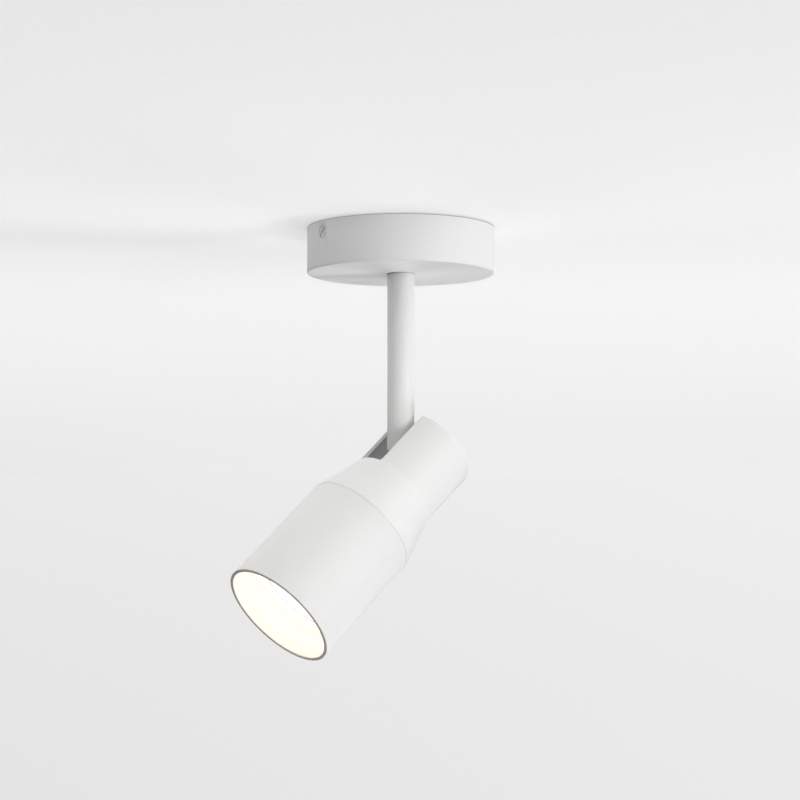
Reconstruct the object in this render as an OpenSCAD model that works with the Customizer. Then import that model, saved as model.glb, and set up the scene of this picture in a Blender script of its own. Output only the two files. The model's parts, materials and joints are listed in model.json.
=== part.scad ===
// Ceiling spotlight with a round canopy, a swivelling stem and a head that tilts on a friction
// hinge inside a slotted neck. The origin is the centre of the mounting plate's ceiling face,
// +Z points up into the ceiling, the head aims towards -Y and the hinge pin lies along X.

/* [Canopy] */
// Outer radius of the canopy
canopy_r = 50; // [46:0.5:70]
// Height of the canopy, from its rim to its floor
canopy_h = 24.5; // [23:0.5:40]
// Sheet thickness of the canopy
canopy_wall = 1.5; // [0.8:0.1:2]
// Gap between the ceiling and the canopy's rim
rim_gap = 0.6; // [0.3:0.1:1.5]
// Radius of the rounded lower edge
canopy_edge_r = 1; // [0.3:0.1:1.4]

/* [Mounting plate] */
// Thickness of the plate and its ears
plate_t = 1.5; // [1:0.1:2.5]
// Radius of the plate's disc
plate_r = 36; // [34:0.5:38]
// Distance between the two slotted screw holes
slot_spacing = 48; // [42:1:50]
// End-to-end length of each slotted hole
slot_len = 12; // [8:1:14]
// Width of each slotted hole
slot_w = 4.6; // [3.5:0.1:5.5]
// Radius of the hole for the supply cable
entry_r = 7; // [5:0.5:9]
// Width of the two ears
ear_w = 14; // [11:0.5:18]
// Length of the ears below the ceiling
ear_h = 13; // [11:0.5:16]

/* [Canopy screws] */
// Diameter of the grub screws in the canopy's side
grub_d = 6; // [4:0.1:6.5]
// Length of the grub screws
grub_len = 7; // [6:0.5:10]
// Depth of the grub screws' axis below the ceiling
grub_z = 6.8; // [5.5:0.1:8]

/* [Stem] */
// Outer radius of the stem
stem_r = 7.2; // [6.6:0.1:8]
// Wall of the stem's tube
stem_wall = 1.2; // [0.8:0.1:1.6]
// Distance from the ceiling to the tilt axis
pivot_drop = 136.4; // [110:1:260]
// Depth of the stem's upper end below the ceiling
stem_top = 8.6; // [7.6:0.2:9.6]

/* [Head] */
// Angle of the head from straight down, as it stands
tilt_angle = 47.3; // [0:0.1:90]
// Outer radius of the slotted neck
neck_r = 24; // [23:0.5:28]
// Outer radius of the shade
shade_r = 31.4; // [29:0.2:40]
// Distance from the tilt axis back to the neck's closed end
neck_back = 29; // [27:0.5:36]
// Distance from the tilt axis forward to the cone's start
cone_start = 7.4; // [6:0.2:9]
// Distance from the tilt axis forward to the seam between cone and shade
seam = 36; // [34:0.5:42]
// Distance from the tilt axis forward to the shade's open rim
shade_front = 103.3; // [90:0.5:130]
// Wall of the neck, the cone and the shade
head_wall = 1.6; // [1:0.1:2]
// Radius of the rounded edge at the neck's closed end
neck_edge_r = 0.8; // [0.3:0.1:1.2]
// Radius of the soft hollow where the neck runs into the cone
cone_blend_r = 12; // [4:1:20]
// Width of the shadow line between cone and shade
seam_w = 0.3; // [0.1:0.1:0.6]
// Room between the stem and the sides of the neck's slot
slot_side_gap = 3.6; // [3.2:0.1:4.4]
// Room between the stem and the ends of the neck's slot
slot_end_gap = 0.6; // [0.4:0.1:1.2]

/* [Hinge] */
// Width of the hinge block's barrel
hub_w = 14.8; // [12:0.2:15]
// Radius of the hinge block's barrel and the bracket's ears
hub_r = 8; // [7:0.25:9]
// Radius of the pivot bolt
bolt_r = 3; // [2:0.25:3.5]
// Thickness of the friction washers
friction_t = 0.8; // [0.4:0.1:1]
// Thickness of the hinge bracket
bracket_t = 2; // [1.2:0.1:2.2]
// Distance from the tilt axis forward to the bulkhead
bulkhead_at = 20; // [18:0.5:24]
// Thickness of the bulkhead
bulkhead_t = 1.5; // [1:0.1:2.5]

/* [Lamp] */
// Radius of the lamp's front
lamp_r = 25; // [22:0.5:26]
// Distance from the lamp's front face back to the lampholder's face
lamp_len = 47; // [42:0.5:52]
// Height of the lampholder
holder_h = 16; // [13:0.5:18]
// Spacing of the lamp's two pins
pin_pitch = 10; // [9:0.1:10.6]
// Radius of the lead's sheath
cable_r = 2; // [1.5:0.1:2.2]

/* [Hidden] */
$fn = 96;

// Clearances, and the small overlap and overshoot of joined and cut solids
running_gap = 0.05;
seat_gap = 0.05;
screw_gap = 0.25;
body_gap = 0.35;
eps = 0.01;
cut = 1;

// Mounting plate: its ears lie just inside the canopy's wall
ear_y = sqrt(pow(canopy_r - canopy_wall - body_gap, 2) - pow(ear_w / 2, 2));
bend_r = plate_t + 1;

// Small screws, bolted through 1.5 mm and 2 mm sheet
small_screw_r = 1.5;
small_head_r = 2.6;
small_head_h = 1.8;

// Swivel, from the canopy's floor up
canopy_floor_z = -rim_gap - canopy_h + canopy_wall;
bush_flange_r = 18;
bush_flange_t = 2;
bush_r = 11;
bush_h = 7.6;
stud_r = 1.5;
stud_circle_r = bush_r + 3.5;
stud_h = bush_flange_t + 4;
nut_across = 5.5;
nut_h = 2.4;
wave_h = 0.9;
wave_t = 0.4;
waves = 3;
collar_h = 5.2;
collar_z = canopy_floor_z + bush_h + wave_h + 2 * seat_gap;
stop_r = 1.5;
stop_circle_r = bush_r + 2.6;
stop_reach = stop_circle_r + stop_r;
stop_z = collar_z + collar_h / 2;

// Terminal block, clear of the turning stop pin
poles = 3;
pole_pitch = 9.5;
block_l = poles * pole_pitch;
block_w = 15;
block_h = 12;
block_y = stop_reach + 1.8 + block_w / 2;
block_z = -plate_t - block_h;
clamp_r = 2.6;
clamp_bore_r = 1.6;
clamp_l = block_w - 1.5;
clamp_z = -plate_t - block_h / 2;
clamp_screw_r = 1.6;
clamp_screw_at = 0.3 * block_w;
block_screw_r = 1.3;
block_head_r = 2.1;
block_head_h = 1.4;
head_sink = 0.4;

// Earth terminal
earth_pos = [12, -22];
earth_r = 1.95;
earth_head_r = 3.6;
earth_head_h = 2.6;
saddle_w = 8;
saddle_t = 1;

// Stem and hinge
tube_bore_r = stem_r - stem_wall;
tube_end = hub_r + 9;
spigot_len = 14;
cable_bore_r = cable_r + 0.4;
exit_up = bolt_r + 5.6 + cable_bore_r;
ear_in = hub_w / 2 + friction_t + 2 * seat_gap;
ear_out = ear_in + bracket_t;
bracket_bend_r = bracket_t + 1.5;
bracket_screw_at = hub_r / 2;
bolt_head_h = 3.6;
disc_stack = 1;
nut_len = 5;

// Rear housing and bulkhead
neck_slot_w = 2 * (stem_r + slot_side_gap);
neck_slot_end = stem_r + slot_end_gap;
spigot_r = shade_r - head_wall - seat_gap;
spigot_front = seam + 8;
boss_r = 3.4;
boss_l = 8;
boss_angles = [90, 210, 330];
boss_circle_r = 20;
grommet_r = cable_r + 1.6;
grommet_lip = 0.8;
grommet_lip_r = grommet_r + 1;
grommet_edge_gap = 3.3;
grommet_y = grommet_lip_r + grommet_edge_gap - (neck_r - head_wall);

// Lampholder and lamp
holder_back = bulkhead_at + bulkhead_t;
holder_face = holder_back + holder_h;
holder_l = 28;
holder_side_gap = 1.4;
holder_w = 2 * (-grommet_y - grommet_lip_r - holder_side_gap);
holder_screw_pitch = 22;
holder_head_sink = 5;
core_r = 0.8;
core_spread = 1.1;
core_up = 6;
core_depth = 1.5;
pin_r = 1.5;
pin_head_r = 2.4;
pin_head_t = 2;
pin_len = 7.2;
pin_root = 3.5;
pin_turn = 25;
contact_t = 0.9;
lamp_back = holder_face + seat_gap;
lamp_front = lamp_back + lamp_len;
lamp_wall = 1.4;
lamp_neck_r = 11;
lamp_neck_l = 12;
lamp_rim_l = 5;
lens_t = 1.6;
board_up = 18;
board_t = 1.6;

// Inner radius of the cone at a distance s in front of the tilt axis
function cone_bore_r(s) =
    neck_r - head_wall
    + (s - cone_start) * (shade_r - head_wall - neck_r) / (seam - cone_start);

// Points of a cubic curve from a to d that leaves a towards b and reaches d from c
function curve(a, b, c, d, steps = 14) = [
    for (i = [0:steps])
        let (t = i / steps, u = 1 - t)
            u * u * u * a + 3 * u * u * t * b + 3 * u * t * t * c + t * t * t * d
];

// A round cable of radius r along a list of points that lie in a plane of constant x
module cable(route, r, sides = 10) {
    count = len(route);
    rings = [
        for (i = [0:count - 1])
            let (
                ahead = route[min(i + 1, count - 1)] - route[max(i - 1, 0)],
                along = ahead / norm(ahead),
                up = cross([1, 0, 0], along)
            )
                for (k = [0:sides - 1])
                    let (a = 360 * k / sides)
                        route[i] + r * (cos(a) * [1, 0, 0] + sin(a) * up)
    ];
    walls = [
        for (i = [0:count - 2], k = [0:sides - 1])
            let (n = (k + 1) % sides)
                each [
                    [i * sides + k, i * sides + n, (i + 1) * sides + n],
                    [i * sides + k, (i + 1) * sides + n, (i + 1) * sides + k]
                ]
    ];
    lid_a = [for (k = [sides - 1:-1:0]) k];
    lid_b = [for (k = [0:sides - 1]) (count - 1) * sides + k];
    polyhedron(rings, concat(walls, [lid_a, lid_b]), convexity = 8);
}

// A ring between two radii, standing on z = 0
module ring(r_out, r_in, h) {
    difference() {
        cylinder(r = r_out, h = h);
        translate([0, 0, -cut]) cylinder(r = r_in, h = h + 2 * cut);
    }
}

// A pan-head screw with a cross recess; its head stands on z = 0 and its shank goes down
module pan_screw(r, shank, head_r, head_h) {
    difference() {
        union() {
            translate([0, 0, -shank]) cylinder(r = r, h = shank + eps);
            cylinder(r = head_r, h = head_h * 0.6);
            translate([0, 0, head_h * 0.6 - eps])
                cylinder(r1 = head_r, r2 = head_r * 0.7, h = head_h * 0.4 + eps);
        }
        for (a = [0, 90])
            rotate(a)
                translate([-head_r * 0.55, -r * 0.2, head_h * 0.45])
                    cube([head_r * 1.1, r * 0.4, head_h]);
    }
}

// A slot with round ends, centred on the origin, cut along x
module round_slot(len, w, h) {
    for (side = [-1, 1])
        translate([side * (len - w) / 2, 0, 0]) cylinder(d = w, h = h);
    translate([-(len - w) / 2, -w / 2, 0]) cube([len - w, w, h]);
}

// Repeats a piece at both ends of the x axis, mirrored
module both_sides() {
    children();
    mirror([1, 0, 0]) children();
}

// Repeats a piece at the three weld studs, on the canopy's floor
module at_studs() {
    for (a = [60, 180, 300])
        rotate(a) translate([stud_circle_r, 0, canopy_floor_z]) children();
}

// Repeats a piece at the terminal block's poles
module at_poles() {
    for (i = [0:poles - 1])
        translate([(i - (poles - 1) / 2) * pole_pitch, block_y, 0]) children();
}

// Repeats a piece between the block's outer poles and its middle one
module at_block_screws() {
    both_sides() translate([pole_pitch / 2, block_y, 0]) children();
}

// Places a piece drawn with the head hanging straight down and the tilt axis at the origin
module tilted() {
    translate([0, 0, -pivot_drop]) rotate([-tilt_angle, 0, 0]) children();
}

// The same, with z = 0 at a distance s in front of the tilt axis and +z facing forward
module along_head(s) {
    tilted() translate([0, 0, -s]) rotate([180, 0, 0]) children();
}

// Repeats a piece at the housing's bosses, in the head's frame or seen from its front
module at_bosses(facing = 1) {
    for (a = boss_angles)
        rotate(facing * a) translate([boss_circle_r, 0, 0]) children();
}

// One of the plate's arms with its ear bent down, drawn in the plane across its width
module bent_arm() {
    flat_l = ear_y - bend_r;
    translate([0, -plate_t]) square([flat_l, plate_t]);
    translate([ear_y - plate_t, -ear_h]) square([plate_t, ear_h - bend_r]);
    translate([flat_l, -bend_r])
        intersection() {
            difference() {
                circle(r = bend_r);
                circle(r = bend_r - plate_t);
            }
            square(bend_r);
        }
}

// Plate screwed to the ceiling, with two ears that take the canopy's grub screws
module mounting_plate() {
    color("silver") difference() {
        union() {
            translate([0, 0, -plate_t]) cylinder(r = plate_r, h = plate_t);
            for (end = [0, 180])
                rotate(end)
                    rotate([90, 0, 90])
                        translate([0, 0, -ear_w / 2]) linear_extrude(ear_w) bent_arm();
        }
        translate([0, 0, -plate_t - cut]) {
            cylinder(r = entry_r, h = plate_t + 2 * cut);
            both_sides()
                translate([slot_spacing / 2, 0, 0])
                    round_slot(slot_len, slot_w, plate_t + 2 * cut);
            translate(earth_pos) cylinder(r = earth_r + seat_gap, h = plate_t + 2 * cut);
            at_block_screws() cylinder(r = block_screw_r + seat_gap, h = plate_t + 2 * cut);
        }
        for (end = [0, 180])
            rotate(end)
                translate([0, ear_y + cut, -grub_z])
                    rotate([90, 0, 0])
                        cylinder(d = grub_d + 2 * seat_gap, h = plate_t + 2 * cut);
    }
}

// Round cover with a rounded lower edge, side holes for its screws and three weld studs
module canopy() {
    color("white") difference() {
        union() {
            translate([0, 0, -rim_gap - canopy_h])
                rotate_extrude()
                    difference() {
                        union() {
                            square([canopy_r - canopy_edge_r, canopy_h]);
                            translate([0, canopy_edge_r])
                                square([canopy_r, canopy_h - canopy_edge_r]);
                            translate([canopy_r - canopy_edge_r, canopy_edge_r])
                                circle(r = canopy_edge_r);
                        }
                        translate([-cut, canopy_wall])
                            square([canopy_r - canopy_wall + cut, canopy_h]);
                        translate([-cut, -cut])
                            square([stem_r + body_gap + cut, canopy_h]);
                    }
            at_studs() translate([0, 0, -eps]) cylinder(r = stud_r, h = stud_h + eps);
        }
        for (end = [0, 180])
            rotate(end)
                translate([0, canopy_r + cut, -grub_z])
                    rotate([90, 0, 0])
                        cylinder(d = grub_d + 2 * screw_gap, h = canopy_wall + 2 * cut);
    }
}

// Slotted grub screws, flush with the canopy's side
module canopy_screws() {
    flush_y = sqrt(pow(canopy_r, 2) - pow(grub_d / 2, 2));
    slot_w = 0.15 * grub_d;
    slot_depth = 0.18 * grub_d;
    color("gainsboro")
        for (end = [0, 180])
            rotate(end)
                translate([0, -flush_y, -grub_z])
                    rotate([-90, 0, 0])
                        difference() {
                            cylinder(d = grub_d, h = grub_len);
                            rotate(-45)
                                translate([-grub_d, -slot_w / 2, -cut])
                                    cube([2 * grub_d, slot_w, cut + slot_depth]);
                        }
}

// Three-pole block that hangs under the plate
module terminal_block() {
    color("ivory") difference() {
        translate([-block_l / 2, block_y - block_w / 2, block_z])
            cube([block_l, block_w, block_h]);
        at_poles() {
            translate([0, -block_w / 2 - cut, clamp_z])
                rotate([-90, 0, 0]) cylinder(r = clamp_r + seat_gap, h = block_w + 2 * cut);
            for (side = [-1, 1])
                translate([0, side * clamp_screw_at, block_z - cut])
                    cylinder(r = clamp_screw_r + screw_gap, h = block_h / 2 + cut);
        }
        at_block_screws()
            translate([0, 0, block_z - cut]) {
                cylinder(r = block_screw_r + seat_gap, h = block_h + 2 * cut);
                cylinder(r = block_head_r + seat_gap, h = cut + block_head_h + head_sink);
            }
    }
}

// Brass tubes in the block, one to a pole
module terminal_clamps() {
    color("goldenrod") at_poles()
        difference() {
            translate([0, clamp_l / 2, clamp_z]) rotate([90, 0, 0]) ring(clamp_r, clamp_bore_r, clamp_l);
            for (side = [-1, 1])
                translate([0, side * clamp_screw_at, clamp_z - clamp_r - cut])
                    cylinder(r = clamp_screw_r + seat_gap, h = clamp_r + cut);
        }
}

// Slotted screws that press on the wires, two to a pole
module terminal_screws() {
    screw_len = clamp_z - block_z - head_sink - clamp_bore_r / 2;
    slot_w = 0.6;
    slot_depth = 0.7;
    color("silver") at_poles()
        for (side = [-1, 1])
            translate([0, side * clamp_screw_at, block_z + head_sink])
                difference() {
                    cylinder(r = clamp_screw_r, h = screw_len);
                    translate([-clamp_screw_r - cut, -slot_w / 2, -cut])
                        cube([2 * (clamp_screw_r + cut), slot_w, cut + slot_depth]);
                }
}

// Screws that hold the block, sunk in it between its poles
module block_screws() {
    shank = block_h - block_head_h - head_sink + plate_t - seat_gap;
    color("silver") at_block_screws()
        translate([0, 0, block_z + block_head_h + head_sink])
            rotate([180, 0, 0]) pan_screw(block_screw_r, shank, block_head_r, block_head_h);
}

// Earth screw under the plate
module earth_screw() {
    color("goldenrod")
        translate([earth_pos.x, earth_pos.y, -plate_t - saddle_t])
            rotate([180, 0, 0])
                pan_screw(earth_r, plate_t + saddle_t - seat_gap, earth_head_r, earth_head_h);
}

// Saddle washer of the earth terminal
module earth_washer() {
    color("goldenrod")
        translate([earth_pos.x, earth_pos.y, -plate_t - saddle_t])
            difference() {
                translate([-saddle_w / 2, -saddle_w / 2, 0]) cube([saddle_w, saddle_w, saddle_t]);
                translate([0, 0, -cut]) cylinder(r = earth_r + seat_gap, h = saddle_t + 2 * cut);
            }
}

// Flanged bush on the canopy's floor, in which the stem turns
module swivel_bush() {
    color("khaki") difference() {
        translate([0, 0, canopy_floor_z]) {
            cylinder(r = bush_flange_r, h = bush_flange_t);
            cylinder(r = bush_r, h = bush_h);
        }
        translate([0, 0, canopy_floor_z - cut]) {
            cylinder(r = stem_r + running_gap, h = bush_h + 2 * cut);
            translate([0, stop_circle_r, 0])
                cylinder(r = stop_r + seat_gap, h = bush_flange_t + 2 * cut);
        }
        at_studs()
            translate([0, 0, -cut])
                cylinder(r = stud_r + screw_gap, h = bush_flange_t + 2 * cut);
    }
}

// Hex nuts on the canopy's weld studs
module bush_nuts() {
    color("silver") at_studs()
        translate([0, 0, bush_flange_t])
            difference() {
                cylinder(d = nut_across / cos(30), h = nut_h, $fn = 6);
                translate([0, 0, -cut]) cylinder(r = stud_r + seat_gap, h = nut_h + 2 * cut);
            }
}

// Sprung washer between the bush and the collar, waved round its circle
module wave_washer() {
    steps = 48;
    lift = (wave_h - wave_t) / 2;
    radii = [bush_r - 0.6, stem_r + screw_gap];
    corners = [[0, 0], [0, 1], [1, 1], [1, 0]];
    rim = [
        for (i = [0:steps - 1])
            let (a = 360 * i / steps, z = lift * (1 + sin(waves * a)))
                for (c = corners)
                    [radii[c.x] * cos(a), radii[c.x] * sin(a), z + c.y * wave_t]
    ];
    walls = [
        for (i = [0:steps - 1], k = [0:3])
            let (j = (i + 1) % steps, n = (k + 1) % 4)
                each [
                    [i * 4 + k, j * 4 + n, i * 4 + n],
                    [i * 4 + k, j * 4 + k, j * 4 + n]
                ]
    ];
    color("silver")
        translate([0, 0, canopy_floor_z + bush_h + seat_gap])
            polyhedron(rim, walls, convexity = 8);
}

// Post on the bush's flange that stops the turning stem
module stop_post() {
    color("silver")
        translate([0, stop_circle_r, canopy_floor_z + seat_gap])
            cylinder(r = stop_r, h = stop_z + stop_r - canopy_floor_z);
}

// Lead from the terminal block over the stem's upper end and down to the swivel axis
module canopy_cable() {
    start = [0, block_y - block_w / 2 - seat_gap, clamp_z];
    over = [0, stem_r + 0.6, -plate_t - cable_r - 0.5];
    end = [0, 0, -stem_top + 0.2];
    climb = curve(start, start - [0, 2 * cable_r, 0], over + [0, 2 * cable_r, 0], over, 8);
    drop = curve(over, over - [0, 2.3 * cable_r, 0], [0, 0, over.z - 0.3 * cable_r], end, 10);
    color("whitesmoke") cable(concat(climb, [for (i = [1:10]) drop[i]]), cable_r);
}

// Tube that hangs in the swivel bush
module stem_tube() {
    color("white")
        translate([0, 0, tube_end - pivot_drop])
            ring(stem_r, tube_bore_r, pivot_drop - tube_end - stem_top);
}

// Collar on the stem that rides on the bush
module stem_collar() {
    color("silver") difference() {
        translate([0, 0, collar_z]) ring(bush_r, stem_r + seat_gap / 2, collar_h);
        translate([0, 0, stop_z])
            rotate([90, 0, 0]) cylinder(r = stop_r + seat_gap / 2, h = bush_r + cut);
    }
}

// Pin of the collar that meets the stop post
module stop_pin() {
    foot = stem_r + screw_gap;
    color("dimgray")
        translate([0, -foot, stop_z])
            rotate([90, 0, 0]) cylinder(r = stop_r, h = stop_reach - foot);
}

// Block at the stem's lower end: a spigot in the tube, a barrel round the pivot bolt and a
// passage for the lead
module hinge_block() {
    color("lightgray")
        translate([0, 0, -pivot_drop]) difference() {
            union() {
                cylinder(r = stem_r, h = tube_end - seat_gap);
                cylinder(r = tube_bore_r - seat_gap / 2, h = tube_end + spigot_len);
                translate([-hub_w / 2, 0, 0]) rotate([0, 90, 0]) cylinder(r = hub_r, h = hub_w);
            }
            translate([-hub_w / 2 - cut, 0, 0])
                rotate([0, 90, 0])
                    cylinder(r = bolt_r + running_gap, h = hub_w + 2 * cut);
            translate([0, 0, exit_up]) {
                cylinder(r = cable_bore_r, h = tube_end + spigot_len);
                sphere(r = cable_bore_r);
                rotate([90, 0, 0]) cylinder(r = cable_bore_r, h = stem_r + cut);
            }
        }
}

// Lead inside the stem, down to the passage's side mouth
module stem_cable() {
    z = exit_up - pivot_drop;
    bend = cable_r + 0.2;
    turn = [for (a = [0:15:90]) [0, bend * (cos(a) - 1), z + bend * (1 - sin(a))]];
    color("whitesmoke")
        cable(concat([[0, 0, -stem_top], [0, 0, z + 5 * cable_r]], turn, [[0, -stem_r, z]]), cable_r);
}

// Half section of the neck, the cone and the spigot for the shade, right of the head's axis
module housing_section() {
    outer = [
        [0, neck_back], [neck_r - neck_edge_r, neck_back], [neck_r, neck_back - neck_edge_r],
        [neck_r, -cone_start], [shade_r, -seam], [spigot_r, -seam], [spigot_r, -spigot_front],
        [0, -spigot_front]
    ];
    inner = [
        [-cut, neck_back - head_wall], [neck_r - head_wall, neck_back - head_wall],
        [neck_r - head_wall, -cone_start], [spigot_r - head_wall, -seam],
        [spigot_r - head_wall, -spigot_front - cut], [-cut, -spigot_front - cut]
    ];
    slope = atan2(shade_r - neck_r, seam - cone_start);
    reach = cone_blend_r * tan(slope / 2);
    difference() {
        union() {
            polygon(outer);
            translate([neck_r - neck_edge_r, neck_back - neck_edge_r]) circle(r = neck_edge_r);
            difference() {
                polygon([
                    [neck_r, reach - cone_start], [neck_r - head_wall / 2, -cone_start],
                    [neck_r + reach * sin(slope), -cone_start - reach * cos(slope)]
                ]);
                translate([neck_r + cone_blend_r, reach - cone_start]) circle(r = cone_blend_r);
            }
        }
        polygon(inner);
    }
}

// Slotted neck and cone, turned as one shell, with bosses for the bulkhead
module rear_housing() {
    color("white") tilted() difference() {
        union() {
            rotate_extrude() housing_section();
            intersection() {
                translate([0, 0, -bulkhead_at])
                    at_bosses() {
                        cylinder(r = boss_r, h = boss_l);
                        translate([0, -boss_r, 0]) cube([shade_r, 2 * boss_r, boss_l]);
                    }
                translate([0, 0, -seam])
                    cylinder(
                        r1 = cone_bore_r(seam) + head_wall / 2,
                        r2 = cone_bore_r(cone_start) + head_wall / 2,
                        h = seam - cone_start
                    );
            }
        }
        translate([-neck_slot_w / 2, -neck_r - cut, -neck_slot_end])
            cube([neck_slot_w, neck_r + cut, neck_back + neck_slot_end + cut]);
        translate([0, neck_slot_end - neck_slot_w / 2, neck_back - head_wall - cut])
            cylinder(d = neck_slot_w, h = head_wall + 2 * cut);
        translate([0, 0, -bulkhead_at - cut])
            at_bosses() cylinder(r = small_screw_r + seat_gap, h = boss_l + cut - head_wall);
    }
}

// U-shaped bracket, bent from sheet, whose two round-ended ears hold the pivot bolt
module hinge_bracket() {
    base = bulkhead_at;
    inner_r = bracket_bend_r - bracket_t;
    color("silver") tilted() difference() {
        intersection() {
            translate([0, hub_r + cut, 0])
                rotate([90, 0, 0])
                    linear_extrude(2 * (hub_r + cut))
                        difference() {
                            rounded_u(ear_out, bracket_bend_r, base);
                            translate([0, bracket_t]) rounded_u(ear_in, inner_r, base);
                        }
            translate([-ear_out - cut, 0, 0])
                rotate([90, 0, 90])
                    linear_extrude(2 * (ear_out + cut)) {
                        circle(r = hub_r);
                        translate([-hub_r, -base - cut]) square([2 * hub_r, base + cut]);
                    }
        }
        translate([-ear_out - cut, 0, 0])
            rotate([0, 90, 0])
                cylinder(r = bolt_r + running_gap, h = 2 * (ear_out + cut));
        for (side = [-1, 1])
            translate([0, side * bracket_screw_at, -base - cut])
                cylinder(r = small_screw_r + seat_gap, h = bracket_t + 2 * cut);
    }
}

// Outline of half-width w that stands on y = -base with two rounded lower corners
module rounded_u(w, r, base) {
    translate([-w, r - base]) square([2 * w, base - r + hub_r + cut]);
    translate([r - w, -base]) square([2 * (w - r), 2 * r]);
    for (side = [-1, 1])
        translate([side * (w - r), r - base]) circle(r = r);
}

// Screws through the bracket's base into the bulkhead
module bracket_screws() {
    color("silver") tilted()
        for (side = [-1, 1])
            translate([0, side * bracket_screw_at, bracket_t - bulkhead_at])
                pan_screw(
                    small_screw_r,
                    bracket_t + bulkhead_t - seat_gap,
                    small_head_r,
                    small_head_h
                );
}

// Bolt on the tilt axis, with a socket head
module pivot_bolt() {
    tail = 1.2;
    thread = 2 * (ear_out + seat_gap) + disc_stack + nut_len + tail;
    color("silver") tilted()
        translate([-ear_out - seat_gap, 0, 0])
            rotate([0, 90, 0]) difference() {
                union() {
                    cylinder(r = bolt_r, h = thread);
                    translate([0, 0, -bolt_head_h]) cylinder(r = bolt_r * 1.67, h = bolt_head_h);
                }
                translate([0, 0, -bolt_head_h - cut])
                    cylinder(r = bolt_r * 0.95, h = cut + bolt_head_h * 0.6, $fn = 6);
            }
}

// Self-locking nut that sets the hinge's friction
module pivot_nut() {
    color("silver") tilted()
        translate([ear_out + seat_gap + disc_stack, 0, 0])
            rotate([0, 90, 0]) difference() {
                union() {
                    cylinder(r = bolt_r * 1.9, h = nut_len * 0.75, $fn = 6);
                    cylinder(r = bolt_r * 1.6, h = nut_len);
                }
                translate([0, 0, -cut])
                    cylinder(r = bolt_r + seat_gap / 2, h = nut_len + 2 * cut);
            }
}

// Fibre washers on both sides of the hinge block's barrel
module friction_washers() {
    color("darkkhaki") tilted() both_sides()
        translate([hub_w / 2 + seat_gap, 0, 0])
            rotate([0, 90, 0])
                ring(hub_r - 0.4, bolt_r + running_gap, friction_t);
}

// Pair of coned spring washers under the nut
module disc_springs() {
    half = disc_stack / 2;
    color("dimgray") tilted()
        translate([ear_out + seat_gap / 2, 0, 0])
            rotate([0, 90, 0])
                for (flip = [0, 1])
                    translate([0, 0, flip * disc_stack])
                        mirror([0, 0, flip])
                            difference() {
                                cylinder(
                                    r1 = hub_r - 1.6,
                                    r2 = bolt_r + 1.2,
                                    h = half - seat_gap / 4
                                );
                                translate([0, 0, -cut])
                                    cylinder(r = bolt_r + running_gap, h = disc_stack + cut);
                            }
}

// Disc across the cone that carries the hinge bracket and the lampholder
module bulkhead() {
    color("silver") along_head(bulkhead_at) difference() {
        cylinder(r = cone_bore_r(bulkhead_at) - screw_gap, h = bulkhead_t);
        translate([0, 0, -cut]) {
            at_bosses(-1) cylinder(r = small_screw_r + screw_gap, h = bulkhead_t + 2 * cut);
            for (side = [-1, 1]) {
                translate([0, side * bracket_screw_at, 0])
                    cylinder(r = small_screw_r + seat_gap, h = bulkhead_t + 2 * cut);
                translate([side * holder_screw_pitch / 2, 0, 0])
                    cylinder(r = small_screw_r + seat_gap, h = bulkhead_t + 2 * cut);
            }
            translate([0, -grommet_y, 0]) cylinder(r = grommet_r, h = bulkhead_t + 2 * cut);
        }
    }
}

// Screws that hold the bulkhead on the housing's bosses
module bulkhead_screws() {
    color("silver") along_head(holder_back) at_bosses(-1)
        pan_screw(
            small_screw_r,
            bulkhead_t + boss_l - head_wall - seat_gap,
            small_head_r,
            small_head_h
        );
}

// Rubber ring round the lead in the bulkhead
module cable_grommet() {
    color("dimgray") along_head(bulkhead_at - grommet_lip) translate([0, -grommet_y, 0])
        difference() {
            union() {
                cylinder(r = grommet_r - seat_gap, h = bulkhead_t + 2 * grommet_lip);
                for (z = [0, bulkhead_t + grommet_lip + seat_gap])
                    translate([0, 0, z]) cylinder(r = grommet_lip_r, h = grommet_lip - seat_gap);
            }
            translate([0, 0, -cut])
                cylinder(r = cable_r + seat_gap, h = bulkhead_t + 2 * grommet_lip + 2 * cut);
        }
}

// Ceramic holder with two keyholes for the lamp's pins
module lampholder() {
    key_gap = 0.3;
    depth = pin_len + contact_t + seat_gap;
    color("beige") along_head(holder_back) difference() {
        intersection() {
            translate([-holder_l / 2, -holder_w / 2, 0]) cube([holder_l, holder_w, holder_h]);
            cylinder(d = holder_l, h = holder_h);
        }
        for (half = [0, 180])
            rotate(half)
                translate([0, 0, holder_h - depth]) {
                    rotate(-pin_turn)
                        translate([pin_pitch / 2, 0, 0])
                            cylinder(r = pin_head_r + key_gap, h = depth + cut);
                    rotate(-pin_turn)
                        rotate_extrude(angle = pin_turn)
                            translate([pin_pitch / 2 - pin_r - key_gap, 0])
                                square([2 * (pin_r + key_gap), depth + cut]);
                    translate([pin_pitch / 2, 0, 0]) {
                        cylinder(r = pin_r + key_gap, h = depth + cut);
                        cylinder(r = pin_head_r + key_gap, h = contact_t + 2 * pin_head_t);
                    }
                }
        for (side = [-1, 1]) {
            translate([side * holder_screw_pitch / 2, 0, -cut]) {
                cylinder(r = small_screw_r + screw_gap, h = holder_h + 2 * cut);
                translate([0, 0, cut + holder_h - holder_head_sink])
                    cylinder(r = small_head_r + screw_gap, h = holder_head_sink + cut);
            }
            translate([side * core_spread, holder_w / 2 - core_depth, core_up])
                rotate([-90, 0, 0]) cylinder(r = core_r + seat_gap, h = core_depth + cut);
        }
    }
}

// Long screws in the holder's ends
module lampholder_screws() {
    color("silver") along_head(holder_face - holder_head_sink)
        for (side = [-1, 1])
            translate([side * holder_screw_pitch / 2, 0, 0])
                pan_screw(
                    small_screw_r,
                    holder_h - holder_head_sink + bulkhead_t - seat_gap,
                    small_head_r,
                    small_head_h
                );
}

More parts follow.
